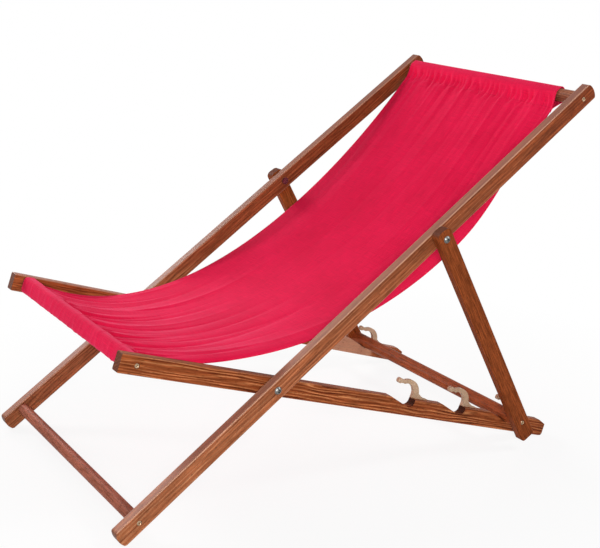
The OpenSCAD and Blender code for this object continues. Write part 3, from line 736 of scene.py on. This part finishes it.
def turn_screws(node, body, material):
    """Pair of bar screws with a round socket in their heads: SCREW_PROFILE swept round the screw's
    axis, and mirrored to the other side."""
    low, high = np.array(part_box(node)) / MM
    depth, radius = np.array(SCREW_PROFILE).T[..., None]
    turn = np.linspace(0, 2 * np.pi, 48, endpoint=False)
    middle = (low + high) / 2
    left = np.stack([
        high[0] - depth + 0 * turn, middle[1] + radius * np.cos(turn), middle[2] + radius * np.sin(turn),
    ], -1)
    index = np.arange(left[..., 0].size).reshape(left.shape[:2])
    after = np.roll(index, -1, axis=1)
    faces = np.stack([index[:-1], index[1:], after[1:], after[:-1]], -1).reshape(-1, 4).tolist()
    faces += [index[0].tolist(), index[-1, ::-1].tolist()]
    mirrored = [[corner + index.size for corner in face[::-1]] for face in faces]
    both = np.stack([left, left * (-1, 1, 1)]) * MM
    piece = make_piece("socket_" + node, both, faces + mirrored, material)
    piece.data.set_sharp_from_angle(angle=math.radians(35))
    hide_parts(node)
    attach(piece, body)


# Floor, world and lamps

def white_to_the_eye(tree, share):
    """The given share for camera, glossy and transmission rays, which see plain white, else 0."""
    ray = add(tree, "LightPath").outputs
    seen = ray["Is Camera Ray"]
    for other in ("Is Glossy Ray", "Is Transmission Ray"):
        seen = add(tree, "Math", {0: seen, 1: ray[other]}, operation="MAXIMUM").outputs[0]
    return add(tree, "Math", {0: seen, 1: share}, operation="MULTIPLY").outputs[0]


def lay_floor():
    """Pale floor: mostly white to the eye, with a part of it shaded by the chair, so that the
    shadow stays, and plain white beyond a metre and a quarter."""
    material, tree = new_material("pale_matt_floor")
    coords = add(tree, "TexCoord")
    away = add(tree, "VectorMath", {0: coords.outputs["Object"]}, operation="LENGTH")
    share = add(tree, "MapRange", {
        "Value": away.outputs["Value"], "From Min": 0.5, "From Max": 1.25, "To Min": 0.87, "To Max": 1.0,
    })
    matt = add(tree, "BsdfDiffuse", {"Color": grey(0.88)})
    white = add(tree, "Emission", {"Color": grey(1.0), "Strength": 1.0})
    mix = add(tree, "MixShader", {
        0: white_to_the_eye(tree, share.outputs[0]), 1: matt.outputs[0], 2: white.outputs[0],
    })
    add(tree, "OutputMaterial", {"Surface": mix.outputs[0]})
    size = 40.0
    corners = np.array([(-size, -size, 0), (size, -size, 0), (size, size, 0), (-size, size, 0)], float)
    floor = make_piece("floor", corners, [(0, 1, 2, 3)], material, smooth=False)


def light_world():
    """Even soft light all round, and plain white where the eye or a reflection looks."""
    world = bpy.data.worlds.new("studio")
    bpy.context.scene.world = world
    world.use_nodes = True
    tree = world.node_tree
    tree.nodes.clear()
    soft = add(tree, "Background", {"Color": grey(1.0), "Strength": 0.2})
    white = add(tree, "Background", {"Color": grey(1.0), "Strength": 1.0})
    mix = add(tree, "MixShader", {
        0: white_to_the_eye(tree, 1.0), 1: soft.outputs[0], 2: white.outputs[0],
    })
    add(tree, "OutputWorld", {"Surface": mix.outputs[0]})


def lamp(name, place, size, watts):
    """Square soft box that faces the middle of the chair."""
    data = bpy.data.lights.new(name, "AREA")
    data.size, data.energy = size, watts
    light = bpy.data.objects.new(name, data)
    light.location = place
    light.rotation_euler = (Vector((0, 0, 0.35)) - Vector(place)).to_track_quat("-Z", "Y").to_euler()
    bpy.context.collection.objects.link(light)


# The chair's finishes: every board its own figure

BOARDS = {
    "long_rail_left": dict(turn=back_turn, pith=(-30, -58), ring=6.4, warp=0.3, bold=0.6, fibre=150,
                           light="#cd946d", mid="#a3623e", dark="#8a4e33", far_tint="#c89f85",
                           top_sheen=0.4, arris_highlight=0.5),
    "long_rail_right": dict(turn=back_turn, pith=(30, 47), ring=6.0, warp=0.5, fibre=120,
                            light="#b0734c", mid="#955838", dark="#6c371e", far_tint="#cdb3a0", top_sheen=0.3),
    "seat_rail_left": dict(turn=seat_turn, pith=(-18, 36), ring=5.4, warp=0.55, bold=1.0,
                           light="#c98455", mid="#904b28", dark="#592412", arris_highlight=0.1, gloss=0.03),
    "seat_rail_right": dict(turn=seat_turn, pith=(26, -45), warp=0.7, top_sheen=0.3, lit_patch=(270, 440)),
    "prop_leg_left": dict(turn=prop_turn, pith=(70, 20), ring=3.2, bold=0.35, light="#8c4a25",
                          mid="#844221", dark="#5a2a10", streak=0.9, arris_highlight=0.0, gloss=0.02),
    "prop_leg_right": dict(turn=prop_turn, pith=(-60, 30), ring=3.4, bold=0.5, light="#934c28",
                           mid="#8a4522", dark="#6c2e0a", streak=0.8, arris_highlight=0.0, gloss=0.02),
    "head_bar": dict(turn=0, pith=(40, 60), across=True, light="#a3684f", mid="#945a41", dark="#7c452e"),
    "foot_bar": dict(turn=0, pith=(55, -45), across=True, bold=0.2, streak=0.15, light="#a76654",
                     mid="#9f5f4c", dark="#8f5040", gloss=0.02),
    "front_bar": dict(turn=0, pith=(-45, 50), across=True),
    "prop_bar": dict(turn=0, pith=(-50, -60), across=True, ring=3.4, light="#9c5230", mid="#904927",
                     dark="#7c3a1e", streak=0.6, gloss=0.08),
}


def finish_node(node, material):
    """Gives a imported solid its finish."""
    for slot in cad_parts[node].material_slots:
        slot.material = material


set_camera()
for node, look in BOARDS.items():
    finish_node(node, oiled_hardwood("oiled_hardwood_" + node, node, **look))

plated = plated_steel("zinc_plated_steel", "#626466", "#888987", 0.8)
bolt_steel = plated_steel("zinc_plated_steel_painted_shade", "#5f6061", "#858480", 3.0)
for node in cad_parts:
    if node.endswith("bolts"):
        finish_node(node, bolt_steel)
    elif node.endswith(("screws", "washers", "nuts")):
        finish_node(node, plated)

passivated = plated_steel("yellow_passivated_zinc_steel", "#b99f83", "#d0b797", 3.0)
for bar, body in (("head", "back_frame"), ("foot", "back_frame"), ("front", "seat_frame"),
                  ("prop", "prop_frame")):
    turn_screws(bar + "_bar_screws", body, passivated)

nylon = moulded_nylon()
for side in ("left", "right"):
    for place in ("front", "middle", "rear"):
        round_hook(f"hook_{side}_{place}", nylon)

cloth, cloth_points, cloth_normals, seam_rows, cloth_s = hang_canvas(woven_canvas())
stitches = sew_seams(cloth_points, cloth_normals, seam_rows, sewing_thread())
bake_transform(cloth)

lay_floor()
light_world()
lamp("sitters_left", (3.1, -2.0, 1.5), 0.7, 90)
lamp("sitters_right", (-2.3, -1.3, 1.9), 0.7, 34)
lamp("low_right", (-3.0, -0.2, 1.3), 1.1, 44)
lamp("rear", (1.5, 2.2, 2.6), 0.9, 36)
bpy.context.scene.view_settings.view_transform = "Standard"
